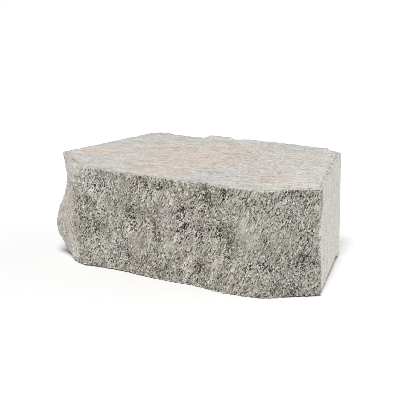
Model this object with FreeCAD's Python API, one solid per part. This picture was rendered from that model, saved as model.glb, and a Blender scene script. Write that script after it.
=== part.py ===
import FreeCAD
import Part
import math
import os

# Main sizes of the block in millimetres. X runs across the face, Y to the back, Z up.
FACE_WIDTH = 301.0
BACK_WIDTH = 206.0
DEPTH = 203.0
HEIGHT = 101.6

# Rear lip under the block: it hooks behind the course below and sets the next course back.
LIP_DROP = 7.0
LIP_TIP = 8.0
LIP_RAMP = 26.0

# Rounding that the mould leaves on the cast edges.
BACK_CORNER_RADIUS = 6.0
TOP_EDGE_RADIUS = 2.0
LIP_EDGE_RADIUS = 1.5

# Split face seen from above: a middle facet, turned a little, between two bevels.
CORNER_SETBACK = 38.0
MIDDLE_TURN = 5.5
RIGHT_BEVEL_WIDTH = 46.0
RIGHT_BEVEL_ANGLE = 37.0
LEFT_BEVEL_WIDTH = 56.0
LEFT_BEVEL_ANGLE = 46.0
BREAK_ROUNDING = 9.0

# Split face seen from the side: its foot lies behind its head.
FACE_LEAN = 9.0

# Broad swells and hollows of the fracture. Each row gives a place (share of the half width across,
# share of the height up), a reach (same shares) and a push into the block (share of RELIEF).
RELIEF = 10.0
BROAD_FORMS = [
    (-0.95, 0.28, 0.13, 0.18, -1.70),
    (-0.96, 0.75, 0.16, 0.15, 0.62),
    (-0.96, 0.00, 0.10, 0.12, 0.35),
    (-0.72, 0.00, 0.08, 0.10, -0.45),
    (-0.40, 0.00, 0.18, 0.16, 0.60),
    (-0.48, 0.82, 0.09, 0.14, 0.35),
    (-0.51, 0.30, 0.09, 0.16, 0.30),
    (-0.70, 0.60, 0.10, 0.20, -0.25),
    (-0.31, 0.82, 0.09, 0.16, -0.25),
    (-0.25, 0.56, 0.09, 0.12, 0.25),
    (-0.21, 0.27, 0.10, 0.16, -0.30),
    (-0.08, 0.44, 0.08, 0.14, 0.35),
    (0.02, 0.68, 0.10, 0.14, -0.35),
    (0.04, 0.32, 0.08, 0.18, -0.30),
    (0.14, 0.72, 0.08, 0.10, 0.25),
    (0.21, 0.52, 0.10, 0.12, 0.45),
    (0.25, 0.15, 0.10, 0.12, 0.35),
    (0.30, 0.82, 0.08, 0.14, 0.45),
    (0.34, 0.40, 0.08, 0.12, -0.25),
    (0.37, 0.05, 0.12, 0.12, -0.35),
    (0.46, 0.44, 0.08, 0.18, 0.50),
    (0.57, 0.62, 0.10, 0.18, -0.40),
    (0.64, 0.00, 0.20, 0.22, -0.65),
    (0.72, 0.32, 0.09, 0.12, 0.30),
    (0.80, 0.56, 0.12, 0.18, -0.25),
    (0.88, 0.88, 0.09, 0.14, 0.30),
    (0.91, 0.30, 0.09, 0.14, 0.45),
]

# Narrow hollows where the fracture tore out of the concrete, given in the same way.
TORN_HOLLOWS = [
    (-0.49, 0.83, 0.050, 0.085, 0.27),
    (-0.52, 0.37, 0.035, 0.110, 0.25),
    (-0.29, 0.17, 0.035, 0.085, 0.22),
    (-0.24, 0.55, 0.045, 0.085, 0.20),
    (-0.01, 0.93, 0.035, 0.060, 0.18),
    (0.14, 0.65, 0.035, 0.065, 0.20),
    (0.29, 0.90, 0.035, 0.090, 0.30),
    (0.16, 0.52, 0.040, 0.065, 0.30),
    (0.25, 0.49, 0.035, 0.065, 0.27),
    (0.40, 0.57, 0.040, 0.065, 0.30),
    (0.46, 0.42, 0.035, 0.090, 0.30),
    (0.24, 0.17, 0.035, 0.065, 0.24),
    (0.46, 0.93, 0.035, 0.050, 0.20),
    (0.71, 0.30, 0.050, 0.050, 0.24),
    (0.90, 0.33, 0.050, 0.055, 0.30),
    (0.86, 0.95, 0.040, 0.050, 0.27),
    (0.93, 0.61, 0.035, 0.100, 0.15),
]

# Fineness and overrun of the fracture surface, and the waste it is split from.
FACE_COLUMNS = 65
FACE_ROWS = 25
FACE_OVERRUN = 0.12
WASTE_DEPTH = 40.0

NEAR = 1e-4


def half_width(y):
    """Half the moulded width at depth y; the sides taper from the face corners to the back."""
    corner = CORNER_SETBACK - DEPTH / 2
    slope = (FACE_WIDTH - BACK_WIDTH) / 2 / (DEPTH / 2 - corner)
    return BACK_WIDTH / 2 + slope * (DEPTH / 2 - y)


def softer_larger(a, b):
    """The larger of two values, with the crease between them rounded over."""
    return (a + b + math.sqrt((a - b) ** 2 + BREAK_ROUNDING ** 2)) / 2


def face_y(x, z):
    """Depth of the split face at a place across and up the block."""
    half = FACE_WIDTH / 2
    front = -DEPTH / 2
    right_break = half - RIGHT_BEVEL_WIDTH
    left_break = LEFT_BEVEL_WIDTH - half
    turn = math.tan(math.radians(MIDDLE_TURN))
    middle = front + turn * (right_break - x)
    right = front + math.tan(math.radians(RIGHT_BEVEL_ANGLE)) * (x - right_break)
    left_start = front + turn * (right_break - left_break)
    left = left_start + math.tan(math.radians(LEFT_BEVEL_ANGLE)) * (left_break - x)
    y = softer_larger(softer_larger(middle, right), left)
    y += FACE_LEAN * (1 - z / HEIGHT)
    for across, up, reach_across, reach_up, push in BROAD_FORMS + TORN_HOLLOWS:
        side = (x / half - across) / reach_across
        rise = (z / HEIGHT - up) / reach_up
        y += RELIEF * push * math.exp(-(side * side + rise * rise) / 2)
    return y


def straight_solid(outline, sweep):
    """Solid swept from a closed outline of points."""
    wire = Part.makePolygon(outline + [outline[0]])
    return Part.Face(wire).extrude(sweep)


def edges_where(shape, test):
    """Edges whose every vertex passes a test."""
    return [edge for edge in shape.Edges if all(test(vertex.Point) for vertex in edge.Vertexes)]


def moulded_block():
    """Tapered casting with its lip and rounded edges, before its face is split."""
    front = -DEPTH / 2 - WASTE_DEPTH
    back = DEPTH / 2
    tip_front = back - LIP_TIP
    ramp_front = tip_front - LIP_RAMP
    widest = half_width(front)

    section = [(front, 0), (ramp_front, 0), (tip_front, -LIP_DROP)]
    section += [(back, -LIP_DROP), (back, HEIGHT), (front, HEIGHT)]
    profile = [FreeCAD.Vector(-widest, y, z) for y, z in section]
    bar = straight_solid(profile, FreeCAD.Vector(2 * widest, 0, 0))

    corners = [(-widest, front), (widest, front), (half_width(back), back), (-half_width(back), back)]
    plan = [FreeCAD.Vector(x, y, -LIP_DROP) for x, y in corners]
    taper = straight_solid(plan, FreeCAD.Vector(0, 0, HEIGHT + LIP_DROP))
    block = bar.common(taper).removeSplitter()

    upright = [edge for edge in edges_where(block, lambda p: abs(p.y - back) < NEAR)
               if abs(edge.Vertexes[0].X - edge.Vertexes[1].X) < NEAR]
    block = block.makeFillet(BACK_CORNER_RADIUS, upright)

    rim = [edge for edge in edges_where(block, lambda p: abs(p.z - HEIGHT) < NEAR)
           if edge.CenterOfMass.y > front + NEAR]
    block = block.makeFillet(TOP_EDGE_RADIUS, rim)

    sole = edges_where(block, lambda p: abs(p.z + LIP_DROP) < NEAR)
    return block.makeFillet(LIP_EDGE_RADIUS, sole)


def split_waste():
    """Waste in front of the fracture, to be taken off the casting."""
    reach = half_width(-DEPTH / 2 - WASTE_DEPTH)
    low = -FACE_OVERRUN * HEIGHT
    high = (1 + FACE_OVERRUN) * HEIGHT
    grid = []
    for column in range(FACE_COLUMNS):
        x = reach * (2 * column / (FACE_COLUMNS - 1) - 1)
        heights = [low + (high - low) * row / (FACE_ROWS - 1) for row in range(FACE_ROWS)]
        grid.append([FreeCAD.Vector(x, face_y(x, z), z) for z in heights])
    fracture = Part.BSplineSurface()
    fracture.interpolate(grid)
    return fracture.toShape().extrude(FreeCAD.Vector(0, -DEPTH - WASTE_DEPTH, 0))


def rest_tilt():
    """Angle at which the block stands on its lip and the foot of its face."""
    half = FACE_WIDTH / 2
    foot = min(face_y(half * step / FACE_COLUMNS, 0) for step in range(-FACE_COLUMNS, FACE_COLUMNS + 1))
    return math.degrees(math.atan2(LIP_DROP, DEPTH / 2 - LIP_TIP - foot))


def wall_block():
    """The block standing on a level floor, its box centred over the origin."""
    block = moulded_block().cut(split_waste()).Solids[0]
    block.rotate(FreeCAD.Vector(0, 0, 0), FreeCAD.Vector(1, 0, 0), rest_tilt())
    box = block.optimalBoundingBox(False, False)
    block.translate(FreeCAD.Vector(-box.Center.x, -box.Center.y, -box.ZMin))
    return block


os.makedirs("parts", exist_ok=True)
wall_block().exportStep("parts/wall_block.step")
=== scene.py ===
"""Retaining wall block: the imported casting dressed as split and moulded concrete."""
import math

import bmesh
import bpy
from mathutils import Matrix, Vector


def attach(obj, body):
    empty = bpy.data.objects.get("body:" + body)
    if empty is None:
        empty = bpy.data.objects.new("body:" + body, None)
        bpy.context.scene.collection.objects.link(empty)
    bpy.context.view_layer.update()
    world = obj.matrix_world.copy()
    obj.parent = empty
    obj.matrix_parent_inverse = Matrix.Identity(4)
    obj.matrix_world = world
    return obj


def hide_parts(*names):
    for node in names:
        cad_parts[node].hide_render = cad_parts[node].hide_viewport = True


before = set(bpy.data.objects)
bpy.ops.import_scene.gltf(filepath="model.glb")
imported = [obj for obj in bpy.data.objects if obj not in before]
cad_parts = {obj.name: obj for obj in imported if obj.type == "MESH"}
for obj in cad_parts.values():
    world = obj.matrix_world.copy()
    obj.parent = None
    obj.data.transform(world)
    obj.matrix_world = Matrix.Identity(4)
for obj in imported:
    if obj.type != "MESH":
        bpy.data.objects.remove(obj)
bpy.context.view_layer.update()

bl_info = {
    "name": "Retaining Wall Block",
    "version": (1, 0, 0),
    "blender": (4, 5, 0),
    "location": "View3D > Sidebar > Wall Block",
    "description": "Dresses the cast wall block with its split face, moulded faces and a plain stage",
    "category": "Object",
}

MM = 0.001
NODE = "wall_block"
BODY = "root"
UP = (0.0, 0.0, 1.0)
MIDDLE = (0.5, 0.5, 0.5)
MERGE_DISTANCE = 0.001 * MM

# Values that the skin keeps on its points for the material.
SPLIT = "split"
PALE = "pale"
ZONE = "zone"
CALM = "calm"
MAUVE = "mauve"
WASH_AND_LIGHT = "wash"
HOLLOW = "hollow"
PIT = "pit"
RIM = "rim"
CAST = "cast_place"
POINT_VALUES = (SPLIT, PALE, ZONE, CALM, MAUVE, WASH_AND_LIGHT, HOLLOW, PIT, RIM)

# Properties that are inputs of the relief's node tree.
RELIEF_SIZES = (
    "swell_size", "swell_depth", "zone_size", "gouge_depth", "grit_size", "grit_depth", "sand_size",
    "sand_depth", "pit_spacing", "pit_depth", "grain_spacing", "grain_height", "pale_edge", "pale_corner",
    "skin_overhang", "pore_spacing", "pore_depth", "wear_depth", "flute_size", "flute_depth", "neck_depth",
    "crumb_depth", "chip_depth", "back_lift",
)

# Rounds of smoothing against which broad edges and fine pits are measured.
BROAD_ROUNDS = 160
FINE_ROUNDS = 8

# Worn patch on the top's back right corner: the corner itself, the outward direction of the right side
# there, how far the patch reaches in from the side, along it and down, and its ragged rim in shares of that.
CHIP_CORNER = (99.5 * MM, 98.2 * MM, 108.8 * MM)
SIDE_NORMAL = (0.9598, 0.2805, 0.0104)
CHIP_REACH = (14 * MM, 46 * MM, 9 * MM)
CHIP_RIM = (1.0, 0.72)
CHIP_RAGGED_SIZE = 9 * MM
CHIP_RAGGED = 0.8

# Rises and dips of the top's back edge in millimetres (from, to, soft margin and rise), and the depth and
# the height over which they set in.
BACK_EDGE = (
    (-116, -88, 6, -1.0), (-84, -54, 8, -2.0), (-44, -24, 7, 1.3), (-19, -12, 4, -0.6), (-4, 50, 10, 0.8),
)
BACK_EDGE_DEPTH = (82 * MM, 96 * MM)
BACK_EDGE_HEIGHT = (96 * MM, 105 * MM)

# Areas of the split face in millimetres: place across and up, reach across and up, and strength. An area
# falls off between two shares of its reach, and noise warps its outline. Stray areas and flecks are noise.
TORN_AREAS = (
    (-78, 84, 10, 12, 0.3), (-84, 36, 4.5, 15, 1.0), (-104, 62, 5, 14, 0.6), (-47, 15, 5, 11, 0.8),
    (-40, 56, 6, 14, 0.8), (-5, 92, 4, 10, 0.7), (-11, 46, 4, 10, 0.8), (16, 68, 5, 11, 0.8),
    (43, 81, 5, 14, 1.0), (19, 53, 5, 11, 1.0), (34, 50, 4, 10, 1.0), (57, 55, 5, 11, 1.0),
    (65, 35, 5, 15, 1.0), (33, 17, 5, 11, 0.9), (65, 93, 5, 8, 0.8), (103, 27, 10, 7, 0.8),
    (132, 32, 12, 10, 0.75), (123, 6, 9, 6, 0.6), (126, 97, 8, 6, 0.8), (136, 62, 4, 14, 0.5),
)
CALM_AREAS = (
    (88, 60, 11, 18, 1.0), (1, 70, 6, 11, 0.6), (3, 41, 7, 10, 0.6), (-34, 32, 9, 10, 0.8),
    (-49, 74, 5, 18, 0.5), (116, 54, 10, 12, 0.4), (56, 45, 5, 6, 0.6), (-100, 100, 10, 9, 0.7),
)
MAUVE_AREAS = (
    (11, 66, 24, 13, 0.8), (41, 58, 16, 9, 0.8), (-19, 46, 9, 12, 0.7), (25, 16, 16, 12, 0.8),
    (-47, 18, 8, 14, 0.6), (-17, 9, 10, 9, 0.5), (-81, 88, 16, 13, 0.5), (-38, 60, 7, 12, 0.7),
)
OLIVE_AREAS = (
    (-55, 82, 12, 16, 0.8), (1, 38, 10, 12, 1.0), (49, 40, 10, 12, 1.0), (79, 58, 12, 26, 1.0),
    (77, 90, 10, 10, 0.8), (49, 10, 12, 9, 0.8), (-77, 45, 10, 20, 0.6),
)
# Pale areas are partly paler mortar and partly painted light, as on the lower left of the face; dim areas are
# partly darker mortar and partly painted shade, as in torn hollows and low on the right bevel.
PALE_AND_LIT_AREAS = (
    (-80, 86, 22, 15, 2.2), (-72, 22, 34, 18, 1.4), (88, 60, 12, 20, 0.5), (15, 60, 40, 22, 0.25),
    (27, 20, 14, 16, 0.9), (1, 38, 10, 12, 0.4), (-40, 62, 30, 30, 0.25), (-100, 100, 10, 10, 1.6),
)
DIM_AND_SHADED_AREAS = (
    (118, 10, 40, 20, 1.1), (136, 30, 16, 12, 1.05), (43, 80, 7, 14, 0.9), (65, 36, 6, 16, 1.0),
    (55, 10, 40, 12, 0.9), (-84, 36, 5, 16, 0.6), (-104, 62, 5, 14, 0.4),
)
AREA_FALL = (1.35, 0.35)
WARP_SIZE = 14 * MM
WARP_REACH = 16 * MM
STRAY_LEVELS = (0.54, 0.70)
STRAY_STRENGTH = 0.5
MAUVE_FLECK_SIZE = 9 * MM
MAUVE_FLECK_LEVELS = (0.47, 0.60)
MAUVE_FLECK_STRENGTH = 0.65

# Border of the split face. A face of the casting counts as split where it is turned to the front by more than
# SPLIT_TURN and down by less than RAMP_TURN.
SPLIT_TURN = -0.2
RAMP_TURN = -0.85
BORDER = (-0.6 * MM, 0.8 * MM)
FRINGE_SIZE = 3.2 * MM
FRINGE_REACH = 6 * MM

# Skin of the top that hangs over the front edge: its patches, and a stretch at the right break where it
# hangs a little farther (from, to and soft margin).
OVERHANG_PATCH = 30 * MM
OVERHANG_LEVEL = 0.46
OVERHANG_HEIGHT = (55 * MM, 95 * MM)
BREAK_STRETCH = (76 * MM, 112 * MM, 14 * MM)
BREAK_OVERHANG = 0.2 * MM

# How far the split face spreads past the right corner, in millimetres (from and to a height, soft margin and
# reach), the stretch across over which that sets in, and how far a face may look up to take part.
RIGHT_CORNER = ((84, 112, 7, 11), (42, 64, 8, -1.4), (-10, 28, 8, 4))
RIGHT_CORNER_START = (118 * MM, 132 * MM)
SIDEWAYS_TURN = (0.6, 0.3)

# Worn left end of the split face: softness and ragged line of its border, the heights over which it comes to
# reach farther, its own relief, and the neck above its belly (from, to and soft margin).
PALE_BORDER = 4 * MM
PALE_COARSE_SIZE = 14 * MM
PALE_COARSE_REACH = 30 * MM
PALE_FINE_SIZE = 3.5 * MM
PALE_FINE_REACH = 22 * MM
PALE_CORNER_HEIGHT = (84 * MM, 100 * MM)
WORN_SIZE = 11 * MM
WORN_DEPTH = 7 * MM
WORN_SAND = 0.35
NECK_STRETCH = (62 * MM, 72 * MM, 11 * MM)

# Lean of the torn streaks and of the flutes, the squeeze that makes their patterns tall, the flutes' own
# stretch of noise, and where the flutes end across the face.
STREAK_LEAN = 0.42
STREAK_SQUEEZE = 0.40
FLUTE_LEAN = 0.18
FLUTE_SQUEEZE = 0.25
FLUTE_SHIFT = 0.6
FLUTED = (100 * MM, 78 * MM)

# Relief of the split face. A value by wear is that of plain face, what torn face adds to it and what calm
# face takes away. Over a margin along the moulded edges the relief falls to a share, except near the foot.
SWELL_STRETCH = (1.0, 1.0, 0.55)
GRIT_BY_WEAR = (0.8, 0.6, 0.5)
PIT_DEPTH_BY_WEAR = (0.5, 0.7, 0.0)
PIT_SHARE_BY_WEAR = (0.14, 0.60, 0.14)
PIT_REACH = (0.25, 0.55)
GRAIN_SHARE = 0.3
GRAIN_REACH = (0.25, 0.5)
SAND_TILT = 0.9
SAND_CALMED = 0.5
EDGE_MARGIN = 6 * MM
EDGE_RELIEF = 0.35
FOOT_HEIGHT = (30 * MM, 12 * MM)
CRUMB_SIZE = 4 * MM
CRUMB_LEVELS = (0.46, 0.62)
CRUMB_HEIGHT = 6 * MM

# Relief of the moulded faces.
PORE_SHARE = 0.4
PORE_REACH = (0.06, 0.22)
WAVE_SIZE = 14 * MM
WAVE_DEPTH = 0.9 * MM
NIBBLE_SIZE = 7 * MM
NIBBLE_LEVELS = (0.50, 0.66)
NIBBLE_EDGE = (-0.8, -2.2)

# Shift of each pattern in metres, which gives it its own stretch of noise.
SHIFTS = {
    "proud grains": (0.7, 0.2, 0.4), "open pits": (0.2, 0.9, 0.1), "sand specks": (0.9, 0.3, 0.8),
    "drift": (0.1, 0.5, 0.6), "flecks": (0.4, 0.2, 0.7), "holes": (0.5, 0.8, 0.2), "gaps": (0.3, 0.6, 0.9),
    "blotches": (0.7, 0.7, 0.1), "clouds": (0.4, 0.4, 0.0), "traces": (0.8, 0.3, 0.0),
    "top specks": (0.3, 0.7, 0.5), "rim dots": (0.6, 0.1, 0.3), "corner dots": (0.1, 0.4, 0.7),
}

# Tones of the split mortar. A tone is where it starts, where it is full and its weight. A pair of tones is
# dark, then light.
BEVEL_GREY = (80 * MM, 104 * MM, 0.8)
# Painted shade that darkens the right bevel, which the key lamp lights more than the middle of the face.
BEVEL_SHADE = (92 * MM, 112 * MM, 0.08)
WASH_AND_LIGHT_WEIGHT = 0.22
SPECK_SIZE = 0.6 * MM
SPECK_STRETCH = (1.0, 1.0, 0.42)
SPECK_TONES = ((0.32, 0.06, 0.77), (0.56, 0.97, 0.49))
SPECKS_BY_WEAR = (1.0, 0.3, 0.6)
DRIFT_SIZE = 2.4 * MM
DRIFT_TONES = ((0.48, 0.28, 0.22), (0.52, 0.72, 0.22))
# Painted shade in the flutes' hollows and painted light on their ridges, following the flutes of the relief.
FLUTE_SHADE_AND_LIGHT = ((0.50, 0.28, 0.26), (0.50, 0.72, 0.24))
# Painted shade and dust in the sunk places of the split face.
SPLIT_PIT_SHADE_AND_DUST = (0.2, 0.9, 0.6)
GRAIN_TINT = 0.3
# Painted shade in the open pits.
OPEN_PIT_SHADE = 0.5
# Painted shadow in the holes and gaps: how much darker than the dark grain it is.
HOLE_SHADOW_FACTOR = 0.4

# Tones of the worn left end, given in the same way. Its paler foot is painted light where the belly turns
# down into shade.
WORN_FOOT_LIGHT = (36 * MM, 16 * MM, 0.53)
WORN_HEAD_TONE = (62 * MM, 82 * MM, 0.66)
WORN_SPECK_TONES = ((0.45, 0.10, 0.28), (0.55, 0.90, 0.27))
BLOTCH_SIZE = 5 * MM
BLOTCH_TONES = ((0.50, 0.30, 0.16), (0.50, 0.70, 0.24))
# Painted shade and dust in the worn end's pits.
WORN_PIT_SHADE_AND_DUST = (0.1, 0.6, 0.6)

# Tan smears and dim patches on the top: middle across and back and reach across and back, in millimetres.
SMEARS = (
    (-116, -16, 38, 30), (-8, 4, 84, 58), (-22, -56, 46, 30), (4, 40, 30, 36), (92, -48, 30, 36),
    (80, 50, 18, 20),
)
TOP_DIMS = ((27, 24, 16, 40), (-96, 86, 30, 18), (-94, -62, 26, 14), (92, -52, 26, 26))
PATCH_FALL = (1.25, 0.35)
SMEAR_GAP_SIZE = 18 * MM
SMEAR_GAP_LEVELS = (0.26, 0.52)
TOP_DIM_WEIGHT = 0.06

# Tones of the moulded faces. The rim's are by the distance from the split face in millimetres, and the top is
# livelier to the right.
MOTTLE_SIZE = 3.0 * MM
TOP_MOTTLE_TONES = ((0.50, 0.28, 0.42), (0.50, 0.70, 0.50))
TOP_LIVELY = (-40 * MM, 50 * MM)
TOP_LIVELY_RISE = 0.40
TOP_LIVELY_LEAST = 0.65
RIM_TONE = (16.0, 2.0, 0.5)
RIM_DOTS_END = (9.0, 0.0)
CLOUD_SIZE = 26 * MM
CLOUD_TONE = (0.50, 0.34, 0.06)
TRACE_SIZE = 7 * MM
TRACE_STRETCH = (0.5, 1.0, 1.0)
TRACE_TONES = ((0.50, 0.30, 0.18), (0.50, 0.70, 0.28))
TOP_RIGHT_TONE = (70 * MM, 130 * MM, 0.20)
SIDE_STREAK_SIZE = 5 * MM
SIDE_STREAK_STRETCH = (1.0, 1.0, 0.15)
SIDE_STREAK_TONES = ((0.50, 0.28, 0.24), (0.50, 0.72, 0.60))
SIDE_MOTTLE_TONES = ((0.50, 0.26, 0.54), (0.50, 0.74, 0.90))
TOP_TURN = (0.5, 0.9)
# Painted shade and dust in the pits of the moulded faces.
MOULD_PIT_SHADE_AND_DUST = (0.08, 0.4, 0.7)
MOULD_EDGE_TONE = (-0.6, -1.5, 0.18)
CORNER_DOTS_EDGE = (-0.5, -1.6)

# Round specks of colour: spacing, least and most reach as shares of the spacing, and weight. A share is how
# many of the places have one, and a speck is full within DOT_CORE of its reach.
FLECKS = (2.6 * MM, 0.18, 0.36, 0.85)
FLECK_SHARE = 0.18
# Hole and gap specks are painted shadow: near-black dots that stand for deep holes in the split face.
HOLE_SHADOWS = (1.05 * MM, 0.38, 0.62, 0.96)
HOLE_SHADOWS_BY_WEAR = (0.17, 0.55, 0.20)
GAP_SHADOWS = (2.1 * MM, 0.3, 0.55, 0.95)
GAP_SHADOWS_BY_WEAR = (-0.05, 0.55, 0.0)
WORN_DOTS = (2.2 * MM, 0.25, 0.5, 0.5)
WORN_DOT_SHARE = 0.36
TOP_SPECKS = (7 * MM, 0.12, 0.20, 0.6)
TOP_SPECK_SHARE = 0.60
TOP_SPECKS_LEFT_OUT = 0.38
TOP_DOTS = (3.6 * MM, 0.2, 0.42, 0.4)
TOP_DOT_SHARE = 0.22
RIM_DOTS = (2.4 * MM, 0.3, 0.55, 0.6)
CORNER_DOTS = (2.4 * MM, 0.3, 0.55, 0.65)
EDGE_DOT_SHARE = 0.45
DOT_CORE = 0.55

# Finish of the concrete.
ROUGHNESS = 0.93
SHINE = 0.25
BUMP_STRENGTH = 0.7
BUMP_DISTANCE = 0.4 * MM
BUMP_GRIT_SIZE = 0.9 * MM
BUMP_GRIT = 0.5
BUMP_SPECKS = 0.8

# Stage.
FLOOR_ROUGHNESS = 0.9
FLOOR_SHINE = 0.1
WHITE = (1.0, 1.0, 1.0, 1.0)
FILL_DIRECTION = (0.9, 0.35, 0.25)
KEY_SPREAD = math.radians(20)
FILL_SPREAD = math.radians(90)
SENSOR_WIDTH = 36.0


class BlockProperties(bpy.types.PropertyGroup):
    """Sizes and colours of the concrete skin."""
    pitch: bpy.props.FloatProperty(
        name="Skin pitch", description="Spacing of the points that carry the relief",
        default=0.68 * MM, min=0.4 * MM, unit="LENGTH", precision=5)
    most_triangles: bpy.props.IntProperty(
        name="Most triangles", description="Triangles that the finished skin may have",
        default=190000)
    swell_size: bpy.props.FloatProperty(
        name="Swell size", description="Width of the swells of the split face",
        default=26 * MM, unit="LENGTH", precision=5)
    swell_depth: bpy.props.FloatProperty(
        name="Swell depth", description="Depth of the swells of the split face",
        default=2.4 * MM, unit="LENGTH", precision=5)
    zone_size: bpy.props.FloatProperty(
        name="Zone size", description="Width of the stray torn zones of the split face",
        default=8 * MM, unit="LENGTH", precision=5)
    gouge_depth: bpy.props.FloatProperty(
        name="Gouge depth", description="Depth of the torn zones of the split face",
        default=0.8 * MM, unit="LENGTH", precision=5)
    grit_size: bpy.props.FloatProperty(
        name="Grit size", description="Width of the coarsest grit",
        default=5 * MM, unit="LENGTH", precision=5)
    grit_depth: bpy.props.FloatProperty(
        name="Grit depth", description="Depth range of the grit",
        default=4.5 * MM, unit="LENGTH", precision=5)
    sand_size: bpy.props.FloatProperty(
        name="Sand size", description="Width of the sand grains",
        default=1.1 * MM, unit="LENGTH", precision=5)
    sand_depth: bpy.props.FloatProperty(
        name="Sand depth", description="Range of level of the sand grains",
        default=1.0 * MM, unit="LENGTH", precision=5)
    pit_spacing: bpy.props.FloatProperty(
        name="Pit spacing", description="Spacing of the pits between grains",
        default=2.7 * MM, unit="LENGTH", precision=5)
    pit_depth: bpy.props.FloatProperty(
        name="Pit depth", description="Depth of the pits between grains",
        default=1.7 * MM, unit="LENGTH", precision=5)
    grain_spacing: bpy.props.FloatProperty(
        name="Grain spacing", description="Spacing of the grains that stand proud",
        default=4.2 * MM, unit="LENGTH", precision=5)
    grain_height: bpy.props.FloatProperty(
        name="Grain height", description="Height of the grains that stand proud",
        default=0.9 * MM, unit="LENGTH", precision=5)
    pale_edge: bpy.props.FloatProperty(
        name="Pale edge", description="Place across the face where its worn left end starts",
        default=-112 * MM, unit="LENGTH", precision=5)
    pale_corner: bpy.props.FloatProperty(
        name="Pale corner", description="How much farther the worn left end reaches at the rim",
        default=13 * MM, unit="LENGTH", precision=5)
    skin_overhang: bpy.props.FloatProperty(
        name="Skin overhang", description="Reach of the top's skin over the front edge",
        default=5 * MM, unit="LENGTH", precision=5)
    pore_spacing: bpy.props.FloatProperty(
        name="Pore spacing", description="Spacing of the pores of the moulded faces",
        default=9 * MM, unit="LENGTH", precision=5)
    pore_depth: bpy.props.FloatProperty(
        name="Pore depth", description="Depth of the pores of the moulded faces",
        default=1.2 * MM, unit="LENGTH", precision=5)
    wear_depth: bpy.props.FloatProperty(
        name="Wear depth", description="Depth of the nibbles along the moulded edges",
        default=1.4 * MM, unit="LENGTH", precision=5)
    flute_size: bpy.props.FloatProperty(
        name="Flute size", description="Width of the upright flutes of the split face",
        default=5.5 * MM, unit="LENGTH", precision=5)
    flute_depth: bpy.props.FloatProperty(
        name="Flute depth", description="Depth of the upright flutes of the split face",
        default=2.0 * MM, unit="LENGTH", precision=5)
    neck_depth: bpy.props.FloatProperty(
        name="Neck depth", description="Depth of the hollow above the belly of the left end",
        default=2.0 * MM, unit="LENGTH", precision=5)
    crumb_depth: bpy.props.FloatProperty(
        name="Crumb depth", description="Depth of the crumbled foot of the split face",
        default=1.4 * MM, unit="LENGTH", precision=5)
    chip_depth: bpy.props.FloatProperty(
        name="Chip depth", description="Depth of the worn back right corner",
        default=2.3 * MM, unit="LENGTH", precision=5)
    back_lift: bpy.props.FloatProperty(
        name="Back lift", description="Size of one unit of rise along the top's back edge",
        default=1.0 * MM, unit="LENGTH", precision=5)
    mortar_olive: bpy.props.FloatVectorProperty(
        name="Olive mortar", description="Greenish grey of the split mortar",
        default=(0.381, 0.365, 0.293, 1.0), min=0.0, max=1.0, subtype="COLOR", size=4)
    mortar_mauve: bpy.props.FloatVectorProperty(
        name="Mauve mortar", description="Pinkish grey of the split mortar",
        default=(0.384, 0.336, 0.317, 1.0), min=0.0, max=1.0, subtype="COLOR", size=4)
    mortar_grey: bpy.props.FloatVectorProperty(
        name="Grey mortar", description="Plain grey of the split mortar on the right bevel",
        default=(0.392, 0.376, 0.337, 1.0), min=0.0, max=1.0, subtype="COLOR", size=4)
    # Also the colour of the painted light on flute ridges, pale areas and the foot of the worn end.
    light_grain_and_painted_light: bpy.props.FloatVectorProperty(
        name="Light grain", description="Palest aggregate grains",
        default=(0.84, 0.815, 0.765, 1.0), min=0.0, max=1.0, subtype="COLOR", size=4)
    # Also the colour of the painted shade in pits, holes, flutes, dim areas and on the right bevel.
    dark_grain_and_shade: bpy.props.FloatVectorProperty(
        name="Dark grain", description="Darkest aggregate grains and deep hollows",
        default=(0.085, 0.078, 0.065, 1.0), min=0.0, max=1.0, subtype="COLOR", size=4)
    pale_olive: bpy.props.FloatVectorProperty(
        name="Pale olive", description="Worn left end of the split face",
        default=(0.50, 0.467, 0.402, 1.0), min=0.0, max=1.0, subtype="COLOR", size=4)
    top_grey: bpy.props.FloatVectorProperty(
        name="Top grey", description="Cement skin of the top",
        default=(0.577, 0.554, 0.530, 1.0), min=0.0, max=1.0, subtype="COLOR", size=4)
    top_tan: bpy.props.FloatVectorProperty(
        name="Top tan", description="Tan smears on the top",
        default=(0.630, 0.551, 0.490, 1.0), min=0.0, max=1.0, subtype="COLOR", size=4)
    rim_olive: bpy.props.FloatVectorProperty(
        name="Rim olive", description="Tint of the top along the split face",
        default=(0.578, 0.552, 0.492, 1.0), min=0.0, max=1.0, subtype="COLOR", size=4)
    # This grey is paler than the top's partly as painted light, to make up for the key lamp lighting the
    # sides less than the top.
    side_grey_and_painted_light: bpy.props.FloatVectorProperty(
        name="Side grey", description="Cement skin of the sides, back and bed",
        default=(0.716, 0.694, 0.652, 1.0), min=0.0, max=1.0, subtype="COLOR", size=4)


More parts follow.
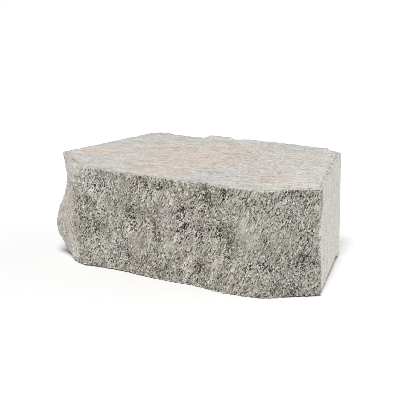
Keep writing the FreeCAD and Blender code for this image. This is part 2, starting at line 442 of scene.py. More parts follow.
class StageProperties(bpy.types.PropertyGroup):
    """Camera, floor and light."""
    azimuth: bpy.props.FloatProperty(
        name="Azimuth", description="Angle of the camera round the block",
        default=math.radians(26.4829), subtype="ANGLE")
    elevation: bpy.props.FloatProperty(
        name="Elevation", description="Angle of the camera above the floor",
        default=math.radians(11.9865), subtype="ANGLE")
    roll: bpy.props.FloatProperty(
        name="Roll", description="Turn of the camera about its own line of sight",
        default=math.radians(0.9699), subtype="ANGLE")
    distance: bpy.props.FloatProperty(
        name="Distance", description="Distance from the camera to the point it aims at",
        default=1.66846, unit="LENGTH")
    aim: bpy.props.FloatVectorProperty(
        name="Aim", description="Point in the middle of the picture",
        default=(-0.00783, -0.00175, 0.06344), unit="LENGTH", subtype="XYZ")
    lens: bpy.props.FloatProperty(
        name="Lens", description="Focal length in millimetres on a 36 mm sensor",
        default=153.0)
    floor_size: bpy.props.FloatProperty(
        name="Floor size", description="Width of the floor",
        default=40.0, unit="LENGTH")
    floor_color: bpy.props.FloatVectorProperty(
        name="Floor colour", description="Colour of the floor",
        default=(0.955, 0.955, 0.955, 1.0), min=0.0, max=1.0, subtype="COLOR", size=4)
    dome: bpy.props.FloatProperty(
        name="Dome", description="Brightness of the white dome",
        default=0.27)
    key: bpy.props.FloatProperty(
        name="Key", description="Strength of the lamp high over the camera",
        default=2.78)
    key_azimuth: bpy.props.FloatProperty(
        name="Key azimuth", description="Angle of the key lamp round the block",
        default=math.radians(20), subtype="ANGLE")
    key_height: bpy.props.FloatProperty(
        name="Key height", description="Angle of the key lamp above the floor",
        default=math.radians(54), subtype="ANGLE")
    fill: bpy.props.FloatProperty(
        name="Fill", description="Strength of the soft lamp behind and to the right",
        default=0.85)
    film_blur: bpy.props.FloatProperty(
        name="Film blur", description="Width of the film's pixel filter in pixels",
        default=0.65)


class Wire:
    """A node's output that takes part in Python arithmetic by adding Math nodes."""

    def __init__(self, graph, socket):
        self.graph = graph
        self.socket = socket

    def _math(self, operation, first, second):
        return self.graph.node("ShaderNodeMath", {"operation": operation}, {0: first, 1: second})

    def __add__(self, other):
        return self._math("ADD", self, other)

    def __radd__(self, other):
        return self._math("ADD", other, self)

    def __sub__(self, other):
        return self._math("SUBTRACT", self, other)

    def __rsub__(self, other):
        return self._math("SUBTRACT", other, self)

    def __mul__(self, other):
        return self._math("MULTIPLY", self, other)

    def __rmul__(self, other):
        return self._math("MULTIPLY", other, self)

    def __truediv__(self, other):
        return self._math("DIVIDE", self, other)

    def __rtruediv__(self, other):
        return self._math("DIVIDE", other, self)

    def __lt__(self, other):
        return self._math("LESS_THAN", self, other)

    def __gt__(self, other):
        return self._math("GREATER_THAN", self, other)


class Graph:
    """A node tree, of shading or of geometry, written as expressions."""

    def __init__(self, tree):
        self.tree = tree

    def node(self, kind, settings=None, values=None, output=0):
        """Adds a node, sets it up, fills or links its inputs and returns one of its outputs."""
        node = self.tree.nodes.new(kind)
        for name, value in (settings or {}).items():
            setattr(node, name, value)
        for key, value in (values or {}).items():
            if isinstance(value, Wire):
                self.tree.links.new(value.socket, node.inputs[key])
            else:
                node.inputs[key].default_value = value
        return Wire(self, node.outputs[output]) if len(node.outputs) else None

    def step(self, value, low, high):
        """Smooth rise from 0 at low to 1 at high."""
        return self.node("ShaderNodeMapRange", {"interpolation_type": "SMOOTHSTEP"},
                         {"Value": value, "From Min": low, "From Max": high, "To Min": 0.0, "To Max": 1.0})

    def between(self, value, low, high, soft):
        """1 from low to high, falling to 0 over a soft margin outside."""
        return self.step(value, low - soft, low) * self.step(value, high + soft, high)

    def profile(self, value, rows):
        """Sum of soft stretches, given in millimetres: from, to, soft margin and height."""
        total = 0.0
        for start, end, soft, height in rows:
            total = self.between(value, start * MM, end * MM, soft * MM) * height + total
        return total

    def larger(self, first, second):
        return self.node("ShaderNodeMath", {"operation": "MAXIMUM"}, {0: first, 1: second})

    def part_of(self, vector, axis):
        return self.node("ShaderNodeSeparateXYZ", None, {0: vector}, axis)

    def joined(self, across, back, up):
        return self.node("ShaderNodeCombineXYZ", None, {0: across, 1: back, 2: up})

    def moved(self, vector, offset):
        return self.node("ShaderNodeVectorMath", {"operation": "ADD"}, {0: vector, 1: offset})

    def less(self, first, second):
        return self.node("ShaderNodeVectorMath", {"operation": "SUBTRACT"}, {0: first, 1: second})

    def stretched(self, vector, factors):
        return self.node("ShaderNodeVectorMath", {"operation": "MULTIPLY"}, {0: vector, 1: factors})

    def scaled(self, vector, factor):
        return self.node("ShaderNodeVectorMath", {"operation": "SCALE"}, {0: vector, "Scale": factor})

    def length(self, vector):
        return self.node("ShaderNodeVectorMath", {"operation": "LENGTH"}, {0: vector}, "Value")

    def dot(self, first, second):
        return self.node("ShaderNodeVectorMath", {"operation": "DOT_PRODUCT"}, {0: first, 1: second}, "Value")

    def noise(self, vector, size, detail=2.0, roughness=0.5):
        """Cloudy values of about 0 to 1 whose blobs have a given size in metres."""
        return self.node("ShaderNodeTexNoise", None,
                         {"Vector": vector, "Scale": 1.0 / size, "Detail": detail, "Roughness": roughness})

    def swing(self, vector, size, reach, detail, roughness):
        """Cloudy values about zero whose blobs have a given size and whose range is a given reach."""
        return (self.noise(vector, size, detail, roughness) - 0.5) * reach

    def cells(self, vector, size, output):
        """Distance from, random colour of or place of the nearest of scattered points a given size apart."""
        return self.node("ShaderNodeTexVoronoi", None, {"Vector": vector, "Scale": 1.0 / size}, output)

    def dots(self, vector, spacing, share, low, high):
        """Round specks on scattered points: a share of the points, each with a reach between low and high."""
        chance = self.cells(vector, spacing, "Color")
        reach = self.part_of(chance, 0) * (high - low) + low
        speck = self.step(self.cells(vector, spacing, "Distance"), reach, reach * DOT_CORE)
        return speck * (self.part_of(chance, 1) < share)

    def areas(self, vector, rows):
        """Strength of the strongest of several areas of the split face."""
        strongest = None
        for across, up, wide, tall, strength in rows:
            gap = self.less(vector, (across * MM, 0.0, up * MM))
            far = self.length(self.stretched(gap, (1.0 / (wide * MM), 0.0, 1.0 / (tall * MM))))
            here = self.step(far, *AREA_FALL) * strength
            strongest = here if strongest is None else self.larger(strongest, here)
        return strongest

    def patches(self, vector, rows):
        """Mask of several soft patches of the top."""
        cover = None
        for across, back, wide, deep in rows:
            gap = self.less(vector, (across * MM, back * MM, 0.0))
            far = self.length(self.stretched(gap, (1.0 / (wide * MM), 1.0 / (deep * MM), 0.0)))
            here = self.step(far, *PATCH_FALL)
            cover = here if cover is None else self.larger(cover, here)
        return cover

    def stored(self, geometry, name, value, kind="FLOAT"):
        """Keeps a value on every point of a geometry."""
        return self.node("GeometryNodeStoreNamedAttribute", {"data_type": kind, "domain": "POINT"},
                         {"Geometry": geometry, "Name": name, "Value": value})

    def kept(self, name):
        """A value that was stored on the points, in a geometry tree."""
        return self.node("GeometryNodeInputNamedAttribute", {"data_type": "FLOAT"}, {"Name": name})

    def attribute(self, name, output):
        """A value that was stored on the points, in a material."""
        return self.node("ShaderNodeAttribute", {"attribute_name": name}, None, output)

    def mix(self, factor, first, second):
        """Blends two colours."""
        return self.node("ShaderNodeMix", {"data_type": "RGBA"}, {"Factor": factor, 6: first, 7: second}, 2)

    def tinted(self, color, value, tone, tint, strength=1.0):
        """A colour that takes on a tint as a value goes from a tone's start to where it is full."""
        start, full, weight = tone
        return self.mix(self.step(value, start, full) * (strength * weight), color, tint)

    def mottled(self, color, pattern, tones, tints, strength=1.0):
        """A colour that takes on a dark tint where a pattern is low and a light one where it is high."""
        for tone, tint in zip(tones, tints):
            color = self.tinted(color, pattern, tone, tint, strength)
        return color

    def dotted(self, color, vector, specks, share, tint, strength=1.0):
        """A colour with round specks of a tint."""
        spacing, low, high, weight = specks
        return self.mix(self.dots(vector, spacing, share, low, high) * (strength * weight), color, tint)


def by_wear(zone, calm, values):
    """A value that torn face adds to and calm face takes from."""
    plain, torn, calmed = values
    return zone * torn + plain - calm * calmed


def torn_streaks(g, place):
    """Places on the split face, drawn together so that a pattern on them stands up and leans to the right."""
    up = g.part_of(place, 2)
    return g.joined(g.part_of(place, 0) - up * STREAK_LEAN, g.part_of(place, 1), up * STREAK_SQUEEZE)


def torn_flutes(g, place, size):
    """Pattern of the upright flutes of the split face, about 0.5 in the mean."""
    up = g.part_of(place, 2)
    across = g.part_of(place, 0) - up * FLUTE_LEAN + FLUTE_SHIFT
    return g.noise(g.joined(across, g.part_of(place, 1), up * FLUTE_SQUEEZE), size, detail=1.0, roughness=0.4)


def proud_grains(g, place, spacing):
    """Mask of the pale grains that stand proud of the split face."""
    return g.dots(g.moved(place, SHIFTS["proud grains"]), spacing, GRAIN_SHARE, *GRAIN_REACH)


def open_pits(g, place, spacing, zone, calm):
    """Mask of the pits that lost grains left in the split face, most of them in its torn zones."""
    share = by_wear(zone, calm, PIT_SHARE_BY_WEAR)
    return g.dots(g.moved(place, SHIFTS["open pits"]), spacing, share, *PIT_REACH)


def sand_level(g, place, size, depth):
    """Height of angular sand grains: each has its own level and its own tilt."""
    centre = g.cells(place, size, "Position")
    tone = g.cells(place, size, "Color")
    tilt = g.dot(g.less(place, centre), g.less(tone, MIDDLE))
    return (g.part_of(tone, 0) - 0.5) * depth + tilt * SAND_TILT


def sunk(g, place, normal, rounds):
    """How far a point lies below the mean of the points round it, in millimetres."""
    mean = g.node("GeometryNodeBlurAttribute", {"data_type": "FLOAT_VECTOR"},
                  {0: place, "Iterations": rounds})
    return g.dot(g.less(mean, place), normal) / MM


def face_distances(g, casting):
    """Distances of a point from the casting's split face and from its moulded faces."""
    turned = g.node("GeometryNodeInputNormal", None, None, "True Normal")
    faces_front = (g.part_of(turned, 1) < SPLIT_TURN) * (g.part_of(turned, 2) > RAMP_TURN)
    distances = []
    for output in ("Selection", "Inverted"):
        faces = g.node("GeometryNodeSeparateGeometry", {"domain": "FACE"},
                       {"Geometry": casting, "Selection": faces_front}, output)
        distances.append(g.node("GeometryNodeProximity", {"target_element": "FACES"}, {0: faces}, "Distance"))
    return distances


def split_skin(g, place, normal, from_split, from_mould, size):
    """Mask of the split face, which the top's skin overhangs and which spreads round the right corner."""
    across = g.part_of(place, 0)
    up = g.part_of(place, 2)
    patch = g.noise(place, OVERHANG_PATCH, detail=3.0, roughness=0.6)
    overhang = g.larger(patch - OVERHANG_LEVEL, 0.0) * size["skin_overhang"]
    overhang = overhang + g.between(across, *BREAK_STRETCH) * BREAK_OVERHANG
    overhang = overhang * g.step(up, *OVERHANG_HEIGHT)
    sideways = g.step(g.part_of(normal, 2), *SIDEWAYS_TURN) * g.step(across, *RIGHT_CORNER_START)
    spread = g.profile(up, RIGHT_CORNER) * MM * sideways
    fringe = g.swing(place, FRINGE_SIZE, FRINGE_REACH, detail=3.0, roughness=0.65)
    return g.step(from_mould - from_split - overhang + spread + fringe, *BORDER)


def worn_end(g, place, size):
    """Mask of the worn left end of the split face."""
    ragged = g.swing(place, PALE_COARSE_SIZE, PALE_COARSE_REACH, detail=3.0, roughness=0.6)
    ragged = ragged + g.swing(place, PALE_FINE_SIZE, PALE_FINE_REACH, detail=2.0, roughness=0.6)
    ragged = ragged - g.step(g.part_of(place, 2), *PALE_CORNER_HEIGHT) * size["pale_corner"]
    edge = size["pale_edge"]
    return g.step(g.part_of(place, 0) + ragged, edge + PALE_BORDER, edge - PALE_BORDER)


def face_areas(g, place, size):
    """Strengths of the torn, calm, mauve and pale or dim areas of the split face, by name; the pale and dim
    areas are partly painted light and shade.
    """
    warp = g.node("ShaderNodeTexNoise", None,
                  {"Vector": place, "Scale": 1.0 / WARP_SIZE, "Detail": 3.0}, "Color")
    warped = g.moved(place, g.scaled(g.less(warp, MIDDLE), WARP_REACH))
    leaning = torn_streaks(g, place)
    stray = g.noise(leaning, size["zone_size"], detail=2.0, roughness=0.55)
    stray = g.step(stray, *STRAY_LEVELS) * STRAY_STRENGTH
    calm = g.areas(warped, CALM_AREAS)
    zone = g.larger(g.areas(warped, TORN_AREAS), stray) - calm
    flecks = g.step(g.noise(leaning, MAUVE_FLECK_SIZE), *MAUVE_FLECK_LEVELS) * MAUVE_FLECK_STRENGTH
    mauve = g.larger(g.areas(warped, MAUVE_AREAS), flecks) - g.areas(warped, OLIVE_AREAS)
    wash = g.areas(warped, PALE_AND_LIT_AREAS) - g.areas(warped, DIM_AND_SHADED_AREAS)
    return {ZONE: g.larger(zone, 0.0), CALM: calm, MAUVE: g.larger(mauve, 0.0), WASH_AND_LIGHT: wash}


def split_relief(g, place, from_mould, size):
    """Height of the split face, with its torn zones, crumbled foot and worn left end."""
    zone = g.kept(ZONE)
    calm = g.kept(CALM)
    pale = g.kept(PALE)
    up = g.part_of(place, 2)
    leaning = torn_streaks(g, place)
    swell = g.swing(g.stretched(place, SWELL_STRETCH), size["swell_size"], size["swell_depth"], 2.0, 0.45)
    gouge = zone * size["gouge_depth"]
    grit = g.swing(leaning, size["grit_size"], size["grit_depth"], detail=4.0, roughness=0.62)
    grit = grit * by_wear(zone, calm, GRIT_BY_WEAR)
    sand = sand_level(g, leaning, size["sand_size"], size["sand_depth"]) * (1.0 - calm * SAND_CALMED)
    pit = open_pits(g, place, size["pit_spacing"], zone, calm) * size["pit_depth"]
    pit = pit * by_wear(zone, calm, PIT_DEPTH_BY_WEAR)
    grain = proud_grains(g, place, size["grain_spacing"]) * size["grain_height"]
    flute = (torn_flutes(g, place, size["flute_size"]) - 0.5) * size["flute_depth"]
    flute = flute * g.step(g.part_of(place, 0), *FLUTED)
    margin = g.step(from_mould, 0.0, EDGE_MARGIN) * (1.0 - EDGE_RELIEF) + EDGE_RELIEF
    rough = (swell - gouge + grit + sand - pit + grain + flute) * g.larger(margin, g.step(up, *FOOT_HEIGHT))

    crumbs = g.step(g.noise(place, CRUMB_SIZE, detail=3.0, roughness=0.6), *CRUMB_LEVELS)
    rough = rough - crumbs * g.step(up, CRUMB_HEIGHT, 0.0) * size["crumb_depth"]
    neck = g.between(up, *NECK_STRETCH) * size["neck_depth"]
    worn = g.swing(place, WORN_SIZE, WORN_DEPTH, detail=5.0, roughness=0.72) + sand * WORN_SAND - neck
    return rough * (1.0 - pale) + worn * pale


def moulded_relief(g, place, size):
    """Height of the moulded faces: slow waves, pores and nibbled edges."""
    wave = g.swing(place, WAVE_SIZE, WAVE_DEPTH, detail=5.0, roughness=0.62)
    pore = g.dots(place, size["pore_spacing"], PORE_SHARE, *PORE_REACH) * size["pore_depth"]
    nibble = g.step(g.noise(place, NIBBLE_SIZE, detail=3.0, roughness=0.6), *NIBBLE_LEVELS)
    nibble = nibble * g.step(g.kept(HOLLOW), *NIBBLE_EDGE) * size["wear_depth"]
    return wave - pore - nibble


def top_rise(g, place, size):
    """Rise of the skin along the top's back edge, and its fall at the worn back right corner."""
    inward_reach, along_reach, down_reach = CHIP_REACH
    away = g.less(place, CHIP_CORNER)
    inward = g.dot(away, SIDE_NORMAL) * -1.0 / inward_reach
    shares = g.joined(inward, g.part_of(away, 1) / along_reach, g.part_of(away, 2) / down_reach)
    ragged = g.swing(place, CHIP_RAGGED_SIZE, CHIP_RAGGED, detail=3.0, roughness=0.6)
    chip = g.step(g.length(shares) + ragged, *CHIP_RIM)
    lift = g.profile(g.part_of(place, 0), BACK_EDGE) * g.step(g.part_of(place, 1), *BACK_EDGE_DEPTH)
    lift = lift * g.step(g.part_of(place, 2), *BACK_EDGE_HEIGHT)
    return lift * size["back_lift"] - chip * size["chip_depth"]


def relief_tree(material):
    """Geometry nodes that give the skin its split and moulded relief and keep the material's values on it."""
    tree = bpy.data.node_groups.new("Concrete relief", "GeometryNodeTree")
    sockets = tree.interface
    sockets.new_socket("Skin", in_out="INPUT", socket_type="NodeSocketGeometry")
    sockets.new_socket("Casting", in_out="INPUT", socket_type="NodeSocketObject")
    for name in RELIEF_SIZES:
        sockets.new_socket(name, in_out="INPUT", socket_type="NodeSocketFloat")
    sockets.new_socket("Skin", in_out="OUTPUT", socket_type="NodeSocketGeometry")

    g = Graph(tree)
    given = tree.nodes.new("NodeGroupInput")
    size = {name: Wire(g, given.outputs[name]) for name in RELIEF_SIZES}
    casting = g.node("GeometryNodeObjectInfo", {"transform_space": "ORIGINAL"},
                     {"Object": Wire(g, given.outputs["Casting"])}, "Geometry")
    place = g.node("GeometryNodeInputPosition")
    normal = g.node("GeometryNodeInputNormal")
    from_split, from_mould = face_distances(g, casting)

    values = {
        SPLIT: split_skin(g, place, normal, from_split, from_mould, size),
        PALE: worn_end(g, place, size),
        RIM: from_split / MM,
        HOLLOW: sunk(g, place, normal, BROAD_ROUNDS),
    }
    values.update(face_areas(g, place, size))
    skin = g.stored(Wire(g, given.outputs["Skin"]), CAST, place, "FLOAT_VECTOR")
    for name, value in values.items():
        skin = g.stored(skin, name, value)

    split = g.kept(SPLIT)
    height = split_relief(g, place, from_mould, size) * split + moulded_relief(g, place, size) * (1.0 - split)
    target = g.moved(place, g.scaled(normal, height))
    target = g.moved(target, g.scaled(UP, top_rise(g, place, size)))
    above_floor = g.larger(g.part_of(target, 2), 0.0)
    target = g.joined(g.part_of(target, 0), g.part_of(target, 1), above_floor)
    skin = g.node("GeometryNodeSetPosition", None, {"Geometry": skin, "Position": target})
    skin = g.stored(skin, PIT, sunk(g, place, normal, FINE_ROUNDS))
    skin = g.node("GeometryNodeRealizeInstances", None, {"Geometry": skin})
    skin = g.node("GeometryNodeSetMaterial", None, {"Geometry": skin, "Material": material})
    result = tree.nodes.new("NodeGroupOutput")
    tree.links.new(skin.socket, result.inputs["Skin"])
    return tree


def split_mortar(g, place, kept, speck, props):
    """Colour of the split face: olive, mauve and grey mortar with flutes, specks and grains, painted light
    and shade on its flutes and its pale or dim areas, painted shadow in its dark holes and gaps, and painted
    shade in its pits and on the right bevel.
    """
    light = tuple(props.light_grain_and_painted_light)
    dark = tuple(props.dark_grain_and_shade)
    tints = (dark, light)
    # Colour of the painted shadow in holes and gaps.
    hole_shadow = tuple(HOLE_SHADOW_FACTOR * part for part in dark[:3]) + (1.0,)
    zone = kept[ZONE]
    calm = kept[CALM]
    across = g.part_of(place, 0)
    streaked = torn_streaks(g, place)

    mortar = g.mix(kept[MAUVE], tuple(props.mortar_olive), tuple(props.mortar_mauve))
    mortar = g.tinted(mortar, across, BEVEL_GREY, tuple(props.mortar_grey))
    # Pale and dim areas: partly the mortar's own tone, partly painted light and shade.
    mortar = g.mix(g.larger(kept[WASH_AND_LIGHT], 0.0) * WASH_AND_LIGHT_WEIGHT, mortar, light)
    mortar = g.mix(g.larger(kept[WASH_AND_LIGHT] * -1.0, 0.0) * WASH_AND_LIGHT_WEIGHT, mortar, dark)
    drift = g.noise(g.moved(streaked, SHIFTS["drift"]), DRIFT_SIZE)
    mortar = g.mottled(mortar, drift, DRIFT_TONES, tints)
    # Painted shade and light that follow the flutes of the relief.
    flute = torn_flutes(g, place, props.flute_size)
    mortar = g.mottled(mortar, flute, FLUTE_SHADE_AND_LIGHT, tints, g.step(across, *FLUTED))
    mortar = g.mottled(mortar, speck, SPECK_TONES, tints, by_wear(zone, calm, SPECKS_BY_WEAR))
    mortar = g.dotted(mortar, g.moved(streaked, SHIFTS["flecks"]), FLECKS, FLECK_SHARE, light)
    mortar = g.mix(proud_grains(g, place, props.grain_spacing) * GRAIN_TINT, mortar, light)
    # Painted shadow: near-black dots for holes and gaps, most of them in the torn zones.
    holes = by_wear(zone, calm, HOLE_SHADOWS_BY_WEAR)
    mortar = g.dotted(mortar, g.moved(streaked, SHIFTS["holes"]), HOLE_SHADOWS, holes, hole_shadow)
    gaps = by_wear(zone, calm, GAP_SHADOWS_BY_WEAR)
    mortar = g.dotted(mortar, g.moved(streaked, SHIFTS["gaps"]), GAP_SHADOWS, gaps, hole_shadow)
    # Painted shade in the open pits, and painted shade with dust in the sunk places.
    mortar = g.mix(open_pits(g, place, props.pit_spacing, zone, calm) * OPEN_PIT_SHADE, mortar, dark)
    mortar = g.tinted(mortar, kept[PIT], SPLIT_PIT_SHADE_AND_DUST, dark)
    # Painted shade on the right bevel.
    return g.tinted(mortar, across, BEVEL_SHADE, dark)


def worn_mortar(g, place, kept, speck, props):
    """Colour of the worn left end, which is palest at its foot and head: at the foot this is painted light
    where the belly turns down into shade. Its pits darken by painted shade and dust.
    """
    light = tuple(props.light_grain_and_painted_light)
    dark = tuple(props.dark_grain_and_shade)
    tints = (dark, light)
    up = g.part_of(place, 2)
    worn = g.tinted(tuple(props.pale_olive), up, WORN_FOOT_LIGHT, light)
    worn = g.tinted(worn, up, WORN_HEAD_TONE, light)
    worn = g.mottled(worn, speck, WORN_SPECK_TONES, tints)
    blotch = g.noise(g.moved(torn_streaks(g, place), SHIFTS["blotches"]), BLOTCH_SIZE)
    worn = g.mottled(worn, blotch, BLOTCH_TONES, tints)
    worn = g.dotted(worn, place, WORN_DOTS, WORN_DOT_SHARE, dark)
    # Painted shade and dust in the sunk places.
    return g.tinted(worn, kept[PIT], WORN_PIT_SHADE_AND_DUST, dark)


def top_cement(g, place, kept, mottle, props):
    """Colour of the top: grey cement with tan smears, an olive rim, traces, mottle and specks."""
    light = tuple(props.light_grain_and_painted_light)
    dark = tuple(props.dark_grain_and_shade)
    tints = (dark, light)
    across = g.part_of(place, 0)
    gaps = g.step(g.noise(place, SMEAR_GAP_SIZE, detail=4.0, roughness=0.65), *SMEAR_GAP_LEVELS)
    top = g.mix(g.patches(place, SMEARS) * gaps, tuple(props.top_grey), tuple(props.top_tan))
    top = g.mix(g.patches(place, TOP_DIMS) * TOP_DIM_WEIGHT, top, dark)
    top = g.tinted(top, kept[RIM], RIM_TONE, tuple(props.rim_olive))
    cloud = g.noise(g.moved(place, SHIFTS["clouds"]), CLOUD_SIZE, detail=4.0, roughness=0.6)
    top = g.tinted(top, cloud, CLOUD_TONE, dark)
    trace = g.noise(g.stretched(g.moved(place, SHIFTS["traces"]), TRACE_STRETCH), TRACE_SIZE)
    top = g.mottled(top, trace, TRACE_TONES, tints)
    top = g.tinted(top, across, TOP_RIGHT_TONE, light)
    lively = g.step(across, *TOP_LIVELY) * TOP_LIVELY_RISE + TOP_LIVELY_LEAST
    top = g.mottled(top, mottle, TOP_MOTTLE_TONES, tints, lively)
    speck_share = lively * TOP_SPECK_SHARE - TOP_SPECKS_LEFT_OUT
    top = g.dotted(top, g.moved(place, SHIFTS["top specks"]), TOP_SPECKS, speck_share, dark)
    top = g.dotted(top, place, TOP_DOTS, TOP_DOT_SHARE, dark)
    near_rim = g.step(kept[RIM], *RIM_DOTS_END)
    return g.dotted(top, g.moved(place, SHIFTS["rim dots"]), RIM_DOTS, EDGE_DOT_SHARE, dark, near_rim)


def moulded_cement(g, place, kept, props):
    """Colour of the moulded faces: streaked sides, back and bed, whose grey is partly painted light, the top,
    pits darkened by painted shade and dust, and darker edges.
    """
    dark = tuple(props.dark_grain_and_shade)
    tints = (dark, tuple(props.light_grain_and_painted_light))
    mottle = g.noise(place, MOTTLE_SIZE, detail=3.0, roughness=0.68)
    streak = g.noise(g.stretched(place, SIDE_STREAK_STRETCH), SIDE_STREAK_SIZE, detail=4.0, roughness=0.65)
    # Side grey, partly painted light.
    side = g.mottled(tuple(props.side_grey_and_painted_light), streak, SIDE_STREAK_TONES, tints)
    side = g.mottled(side, mottle, SIDE_MOTTLE_TONES, tints)
    facing = g.part_of(g.node("ShaderNodeNewGeometry", None, None, "Normal"), 2)
    moulded = g.mix(g.step(facing, *TOP_TURN), side, top_cement(g, place, kept, mottle, props))
    # Painted shade and dust in the moulded pits.
    moulded = g.tinted(moulded, kept[PIT], MOULD_PIT_SHADE_AND_DUST, dark)
    moulded = g.tinted(moulded, kept[HOLLOW], MOULD_EDGE_TONE, dark)
    edge = g.step(kept[HOLLOW], *CORNER_DOTS_EDGE)
    return g.dotted(moulded, g.moved(place, SHIFTS["corner dots"]), CORNER_DOTS, EDGE_DOT_SHARE, dark, edge)


def concrete_material(props):
    """Split mortar, the worn left end and moulded cement, told apart by the skin's own attributes."""
    material = bpy.data.materials.new("split_and_moulded_concrete")
    material.use_nodes = True
    tree = material.node_tree
    tree.nodes.clear()
    g = Graph(tree)
    place = g.attribute(CAST, "Vector")
    kept = {name: g.attribute(name, "Fac") for name in POINT_VALUES}
    upright = g.stretched(g.moved(torn_streaks(g, place), SHIFTS["sand specks"]), SPECK_STRETCH)
    speck = g.part_of(g.cells(upright, SPECK_SIZE, "Color"), 0)

    mortar = split_mortar(g, place, kept, speck, props)
    face = g.mix(kept[PALE], mortar, worn_mortar(g, place, kept, speck, props))
    color = g.mix(kept[SPLIT], moulded_cement(g, place, kept, props), face)
    grit = g.noise(place, BUMP_GRIT_SIZE, detail=3.0, roughness=0.7) * BUMP_GRIT
    grit = grit + speck * kept[SPLIT] * BUMP_SPECKS
    bump = g.node("ShaderNodeBump", None,
                  {"Strength": BUMP_STRENGTH, "Distance": BUMP_DISTANCE, "Height": grit})
    shader = g.node("ShaderNodeBsdfPrincipled", None,
                    {"Base Color": color, "Normal": bump, "Roughness": ROUGHNESS,
                     "Specular IOR Level": SHINE})
    g.node("ShaderNodeOutputMaterial", None, {"Surface": shader})
    return material


def merged_casting():
    """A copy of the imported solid's mesh with its loose triangles joined."""
    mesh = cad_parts[NODE].data.copy()
    shell = bmesh.new()
    shell.from_mesh(mesh)
    bmesh.ops.remove_doubles(shell, verts=shell.verts, dist=MERGE_DISTANCE)
    shell.to_mesh(mesh)
    shell.free()
    mesh.materials.clear()
    casting = bpy.data.objects.new("casting", mesh)
    bpy.context.scene.collection.objects.link(casting)
    return casting


def baked_mesh(piece):
    """The piece's mesh with its modifiers applied."""
    depsgraph = bpy.context.evaluated_depsgraph_get()
    return bpy.data.meshes.new_from_object(piece.evaluated_get(depsgraph))


def add_relief(skin, casting, props):
    """Gives the skin its even points and the relief's node tree."""
    remesh = skin.modifiers.new("Even points", "REMESH")
    remesh.mode = "VOXEL"
    remesh.voxel_size = props.pitch
    tree = relief_tree(concrete_material(props))
    relief = skin.modifiers.new("Concrete relief", "NODES")
    relief.node_group = tree
    for item in tree.interface.items_tree:
        if item.in_out == "INPUT" and item.socket_type == "NodeSocketFloat":
            relief[item.identifier] = getattr(props, item.name)
        if item.in_out == "INPUT" and item.socket_type == "NodeSocketObject":
            relief[item.identifier] = casting


def bake(skin):
    """Turns the skin and its modifiers into a plain mesh."""
    mesh = baked_mesh(skin)
    skin.modifiers.clear()
    skin.data = mesh


class WALLBLOCK_OT_skin(bpy.types.Operator):
    """Make the block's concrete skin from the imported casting"""
    bl_idname = "wallblock.skin"
    bl_label = "Concrete skin"

    def execute(self, context):
        props = context.scene.wall_block
        casting = merged_casting()
        skin = casting.copy()
        skin.data = casting.data.copy()
        skin.name = "block_skin"
        context.scene.collection.objects.link(skin)
        add_relief(skin, casting, props)
        bake(skin)
        skin.data.calc_loop_triangles()
        count = len(skin.data.loop_triangles)
        if count > props.most_triangles:
            thin = skin.modifiers.new("Thin flat parts", "DECIMATE")
            thin.ratio = props.most_triangles / count
            bake(skin)
        bpy.data.objects.remove(casting)
        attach(skin, BODY)
        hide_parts(NODE)
        return {"FINISHED"}


def direction(azimuth, height):
    """Direction from the block at an angle round it and an angle above the floor."""
    flat = math.cos(height)
    return Vector((math.sin(azimuth) * flat, -math.cos(azimuth) * flat, math.sin(height)))


def pale_floor(props):
    """A plain square floor under the block."""
    half = props.floor_size / 2
    corners = [(-half, -half, 0), (half, -half, 0), (half, half, 0), (-half, half, 0)]
    mesh = bpy.data.meshes.new("floor")
    mesh.from_pydata(corners, [], [(0, 1, 2, 3)])
    floor = bpy.data.objects.new("floor", mesh)
    bpy.context.scene.collection.objects.link(floor)
    paint = bpy.data.materials.new("floor_paint")
    paint.use_nodes = True
    paint.node_tree.nodes.clear()
    g = Graph(paint.node_tree)
    shader = g.node("ShaderNodeBsdfPrincipled", None,
                    {"Base Color": tuple(props.floor_color), "Roughness": FLOOR_ROUGHNESS,
                     "Specular IOR Level": FLOOR_SHINE})
    g.node("ShaderNodeOutputMaterial", None, {"Surface": shader})
    mesh.materials.append(paint)
    return floor


def white_dome(props):
    """An even white light from all round."""
    world = bpy.data.worlds.new("white_dome")
    world.use_nodes = True
    background = world.node_tree.nodes["Background"]
    background.inputs["Color"].default_value = WHITE
    background.inputs["Strength"].default_value = props.dome
    return world


def soft_lamp(name, source, strength, spread):
    """A wide lamp that shines from a direction."""
    lamp = bpy.data.lights.new(name, "SUN")
    lamp.angle = spread
    lamp.energy = strength
    light = bpy.data.objects.new(name, lamp)
    light.rotation_euler = source.to_track_quat("Z", "Y").to_euler()
    bpy.context.scene.collection.objects.link(light)


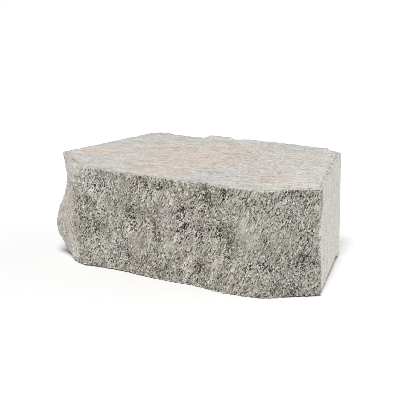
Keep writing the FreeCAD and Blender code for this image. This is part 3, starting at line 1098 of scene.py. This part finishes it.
def photo_camera(props):
    """A camera at the photograph's viewing angle."""
    lens = bpy.data.cameras.new("photo_camera")
    lens.sensor_width = SENSOR_WIDTH
    lens.lens = props.lens
    camera = bpy.data.objects.new("photo_camera", lens)
    back = direction(props.azimuth, props.elevation)
    turn = (-back).to_track_quat("-Z", "Y").to_matrix().to_4x4() @ Matrix.Rotation(props.roll, 4, "Z")
    camera.matrix_world = Matrix.Translation(Vector(props.aim) + back * props.distance) @ turn
    bpy.context.scene.collection.objects.link(camera)
    return camera


class WALLBLOCK_OT_stage(bpy.types.Operator):
    """Set up the pale floor, the soft light and the camera"""
    bl_idname = "wallblock.stage"
    bl_label = "Stage"

    def execute(self, context):
        props = context.scene.wall_stage
        scene = context.scene
        scene.view_settings.view_transform = "Standard"
        scene.cycles.filter_width = props.film_blur
        scene.cycles.denoising_prefilter = "NONE"
        pale_floor(props)
        scene.world = white_dome(props)
        soft_lamp("key", direction(props.key_azimuth, props.key_height), props.key, KEY_SPREAD)
        soft_lamp("fill", Vector(FILL_DIRECTION), props.fill, FILL_SPREAD)
        scene.camera = photo_camera(props)
        return {"FINISHED"}


class WALLBLOCK_PT_panel(bpy.types.Panel):
    """Lists the block's operators and properties"""
    bl_idname = "WALLBLOCK_PT_panel"
    bl_label = "Wall Block"
    bl_space_type = "VIEW_3D"
    bl_region_type = "UI"
    bl_category = "Wall Block"

    def draw(self, context):
        for group in (context.scene.wall_block, context.scene.wall_stage):
            for name in group.__annotations__:
                self.layout.prop(group, name)
        self.layout.operator(WALLBLOCK_OT_skin.bl_idname)
        self.layout.operator(WALLBLOCK_OT_stage.bl_idname)


CLASSES = (BlockProperties, StageProperties, WALLBLOCK_OT_skin, WALLBLOCK_OT_stage, WALLBLOCK_PT_panel)


def register():
    for item in CLASSES:
        bpy.utils.register_class(item)
    bpy.types.Scene.wall_block = bpy.props.PointerProperty(type=BlockProperties)
    bpy.types.Scene.wall_stage = bpy.props.PointerProperty(type=StageProperties)


def unregister():
    del bpy.types.Scene.wall_stage
    del bpy.types.Scene.wall_block
    for item in reversed(CLASSES):
        bpy.utils.unregister_class(item)


def main():
    """Makes the skin and the stage."""
    register()
    bpy.ops.wallblock.skin()
    bpy.ops.wallblock.stage()


if __name__ == "__main__":
    main()
